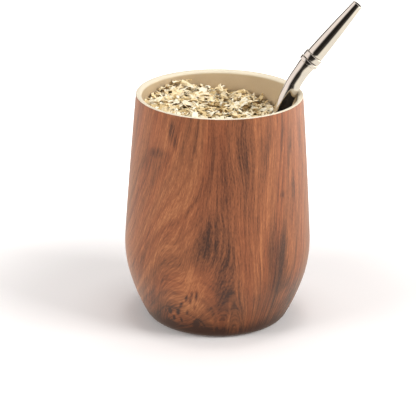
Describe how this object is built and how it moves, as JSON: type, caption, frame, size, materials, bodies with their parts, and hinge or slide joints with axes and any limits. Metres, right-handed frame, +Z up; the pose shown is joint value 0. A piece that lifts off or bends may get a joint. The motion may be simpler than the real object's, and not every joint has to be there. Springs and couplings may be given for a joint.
{
  "type": "mate drink in a tumbler with a bombilla straw",
  "caption": "Stemless round-bellied cup with a wood finish and pale lining, filled with loose dried leaves, and a bent steel straw leaning on its lip.",
  "frame": {"origin": "middle of the cup's flat foot, on the surface that it stands on", "axes": "+Z up along the cup's axis, +X the way the straw leans, -Y the side that faces the camera in the picture"},
  "size_m": [0.1099, 0.089, 0.1564],
  "materials": {
    "wood_finish": "satin coat with a walnut grain",
    "cream_lining": "satin",
    "dried_leaf": "matte",
    "polished_steel": "mirror polish"
  },
  "bodies": {
    "root": {"cup_body": "wood_finish", "cup_lining": "cream_lining", "yerba_heap": "dried_leaf", "bombilla_stem": "polished_steel", "bombilla_lower_ring": "polished_steel", "bombilla_upper_ring": "polished_steel", "bombilla_mouthpiece": "polished_steel"}
  },
  "joints": []
}
